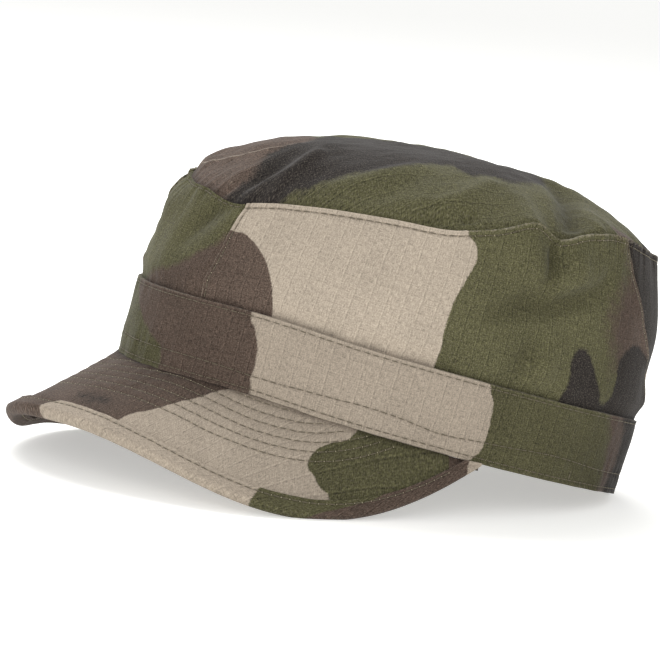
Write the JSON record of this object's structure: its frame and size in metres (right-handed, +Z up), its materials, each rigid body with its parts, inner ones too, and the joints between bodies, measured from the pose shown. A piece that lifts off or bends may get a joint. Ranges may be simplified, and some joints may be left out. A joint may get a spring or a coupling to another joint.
{
  "type": "field cap",
  "caption": "Soft field cap in woodland camouflage cloth, with a puffed seamed crown, a turned-up band and a bound, stitched peak.",
  "frame": {"origin": "centre of the cap's box, on the surface that it rests on", "axes": "+Z up, the peak towards -Y, the wearer's left towards +X"},
  "size_m": [0.1934, 0.2484, 0.1293],
  "materials": {
    "crown_top_cloth": "matt ripstop cotton printed in a four-colour woodland camouflage",
    "front_panel_cloth": "matt ripstop cotton printed in a four-colour woodland camouflage",
    "side_panel_left_cloth": "matt ripstop cotton printed in a four-colour woodland camouflage",
    "side_panel_right_cloth": "matt ripstop cotton printed in a four-colour woodland camouflage",
    "back_panel_cloth": "matt ripstop cotton printed in a four-colour woodland camouflage",
    "band_cloth": "matt ripstop cotton printed in a four-colour woodland camouflage",
    "peak_cloth": "matt ripstop cotton printed in a four-colour woodland camouflage",
    "peak_binding_cloth": "matt ripstop cotton printed in a four-colour woodland camouflage"
  },
  "bodies": {
    "root": {"crown_top": "crown_top_cloth", "front_panel": "front_panel_cloth", "side_panel_left": "side_panel_left_cloth", "side_panel_right": "side_panel_right_cloth", "back_panel": "back_panel_cloth", "band": "band_cloth", "peak": "peak_cloth", "peak_binding": "peak_binding_cloth"}
  },
  "joints": []
}
